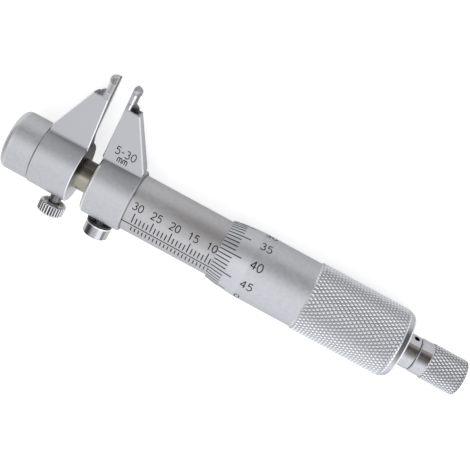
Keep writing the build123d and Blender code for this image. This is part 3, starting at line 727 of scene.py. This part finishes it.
thimbleKnurl = {
    "startX": 59.3, "endX": 83.2,
    "rootRadius": 8.90, "height": 0.24, "sink": 0.03,
    "count": 56, "length": 1.66, "crest": 0.2,
    "fade": 0.35,              # mm over which the rows rise from each end
    "roundStartX": 82.65, "roundEndX": 85.25, "roundEndRadius": 8.0,
}
knobKnurl = {
    "startX": 92.8, "endX": 101.9,
    "rootRadius": 4.56, "height": 0.2, "sink": 0.03,
    "count": 32, "length": 1.54, "crest": 0.2,
    "fade": 0.3,
    "roundStartX": 101.38, "roundEndX": 102.13, "roundEndRadius": 3.81,
}


def makeKnurl(name, s, body):
    bm = bmesh.new()
    step = 360 / s["count"]
    rowStep = s["length"] / 2
    depth = s["height"] + s["sink"]
    rows = int((s["endX"] - s["startX"]) / rowStep) + 1
    shape = Matrix.Diagonal((rowStep, step / 2, 1, 1))
    for row in range(rows):
        x = s["startX"] + (row + 0.5) * rowStep
        for index in range(s["count"]):
            turn = (index + row % 2 / 2) * step          # every second row stands half a step on
            place = Matrix.Translation((x, turn, depth / 2 - s["sink"]))
            bmesh.ops.create_cone(bm, cap_ends=True, cap_tris=False, segments=4, radius1=1,
                                  radius2=s["crest"], depth=depth, matrix=place @ shape)
    for vert in bm.verts:          # nothing reaches past the rounded end
        vert.co.x = min(vert.co.x, s["roundEndX"] - s["sink"])
    drop = s["rootRadius"] - s["roundEndRadius"]
    length = s["roundEndX"] - s["roundStartX"]

    def rootAt(x):
        past = min(max((x - s["roundStartX"]) / length, 0), 1)
        return s["rootRadius"] - drop * (1 - (1 - past ** 2) ** 0.5)

    def heightShare(x):
        return min(max(min(x - s["startX"], s["endX"] - x) / s["fade"], -1), 1)

    wrapRound(bm, rootAt, heightShare)
    finishPiece(name, bm, knurlMaterial, body)


makeKnurl("thimble_knurl", thimbleKnurl, "barrel")
makeKnurl("knob_knurl", knobKnurl, "knob")


# Floor of pale paper, and a studio sky of soft bands with one dark opening where the camera is

studio = {
    "floorSize": 200.0,
    "floorColour": (0.66, 0.66, 0.665),
    "floorCloudsPerMm": 0.003, "floorDarker": 0.99,
    "seenLift": 0.7,           # white where the camera looks
    "mirroredLift": 0.25,      # and where the metal mirrors it
    "strength": 1.0,
    "openingAt": 0.28, "openingFrom": 0.08, "openingTo": 0.2,      # sideways place and reach
    "rightFrom": 0.35, "rightTo": 0.6,
    "leftFrom": -0.12, "leftTo": -0.75,
    "coolTint": (0.968, 0.99, 1.042),
    "warmTint": (1.09, 1.0, 0.96), "warmBelow": 0.45,      # dark parts are warmer than the paper
}
# Brightness by the angle round the tool in degrees, from the horizon at the tips over the top to
# the other horizon: in the opening, beside it, and to the right and left
skyAngles = (0, 14, 26, 38, 50, 62, 74, 88, 103, 120, 142, 180)
skyOpening = (0.35, 0.35, 0.11, 0.07, 0.13, 0.19, 0.38, 0.75, 1.08, 1.12, 1.08, 1.05)
skyBeside = (0.3, 0.46, 0.46, 0.62, 1.1, 1.48, 1.48, 1.25, 1.1, 1.05, 1.0, 1.0)
skyRight = (0.72, 0.82, 0.86, 0.93, 1.05, 1.22, 1.42, 1.48, 1.4, 1.3, 1.2, 1.1)
skyLeft = (0.3, 0.3, 0.3, 0.3, 0.32, 0.34, 0.3, 0.26, 0.24, 0.26, 0.4, 0.6)


def makeFloor():
    s = studio
    bm = bmesh.new()
    bmesh.ops.create_grid(bm, x_segments=1, y_segments=1, size=s["floorSize"] / 2)
    mesh = bpy.data.meshes.new("floor")
    bm.to_mesh(mesh)
    bm.free()
    material, shader = newMaterial("floor_paper")
    tree = material.node_tree
    shader.inputs["Roughness"].default_value = 1.0
    shader.inputs["Specular IOR Level"].default_value = 0.0
    clouds = noiseOn(tree, toolPoints(tree), s["floorCloudsPerMm"])
    darker = tuple(value * s["floorDarker"] for value in s["floorColour"])
    colour = blendColours(tree, clouds, darker, s["floorColour"])
    tree.links.new(colour, shader.inputs["Base Color"])
    path = addNode(tree, "ShaderNodeLightPath").outputs
    mirrored = calculate(tree, "MAXIMUM", path["Is Glossy Ray"], path["Is Transmission Ray"])
    lift = calculate(tree, "MULTIPLY_ADD", path["Is Camera Ray"], s["seenLift"],
                     calculate(tree, "MULTIPLY", mirrored, s["mirroredLift"]))
    shader.inputs["Emission Color"].default_value = (1, 1, 1, 1)
    tree.links.new(lift, shader.inputs["Emission Strength"])
    mesh.materials.append(material)
    obj = bpy.data.objects.new("floor", mesh)
    scene.collection.objects.link(obj)


def skyRamp(tree, share, levels):
    # one brightness for each of the angles, tinted warm where it is dark
    ramp = addNode(tree, "ShaderNodeValToRGB", share)
    elements = ramp.color_ramp.elements
    while len(elements) < len(skyAngles):
        elements.new(0.5)          # gets its place below
    for element, angle in zip(elements, skyAngles):
        element.position = angle / skyAngles[-1]
    for element, level in zip(elements, levels):
        tint = studio["warmTint"] if level < studio["warmBelow"] else studio["coolTint"]
        element.color = (*(level * part for part in tint), 1)
    return ramp.outputs["Color"]


def makeSky():
    s = studio
    world = bpy.data.worlds.new("studio")
    scene.world = world
    world.use_nodes = True
    tree = world.node_tree
    way = addNode(tree, "ShaderNodeTexCoord").outputs["Generated"]
    x, y, z = addNode(tree, "ShaderNodeSeparateXYZ", way).outputs
    share = calculate(tree, "DIVIDE", calculate(tree, "ARCTAN2", z, y), pi)
    fromOpening = calculate(tree, "ABSOLUTE", calculate(tree, "SUBTRACT", x, s["openingAt"]))
    colour = blendColours(tree, easeBetween(tree, fromOpening, s["openingFrom"], s["openingTo"]),
                          skyRamp(tree, share, skyOpening), skyRamp(tree, share, skyBeside))
    colour = blendColours(tree, easeBetween(tree, x, s["rightFrom"], s["rightTo"]),
                          colour, skyRamp(tree, share, skyRight))
    colour = blendColours(tree, easeBetween(tree, x, s["leftFrom"], s["leftTo"]),
                          colour, skyRamp(tree, share, skyLeft))
    seen = addNode(tree, "ShaderNodeLightPath").outputs["Is Camera Ray"]
    background = tree.nodes["Background"]
    tree.links.new(blendColours(tree, seen, colour, (1.0, 1.0, 1.0)), background.inputs["Color"])
    background.inputs["Strength"].default_value = s["strength"]


makeFloor()
makeSky()
print("studio ready")
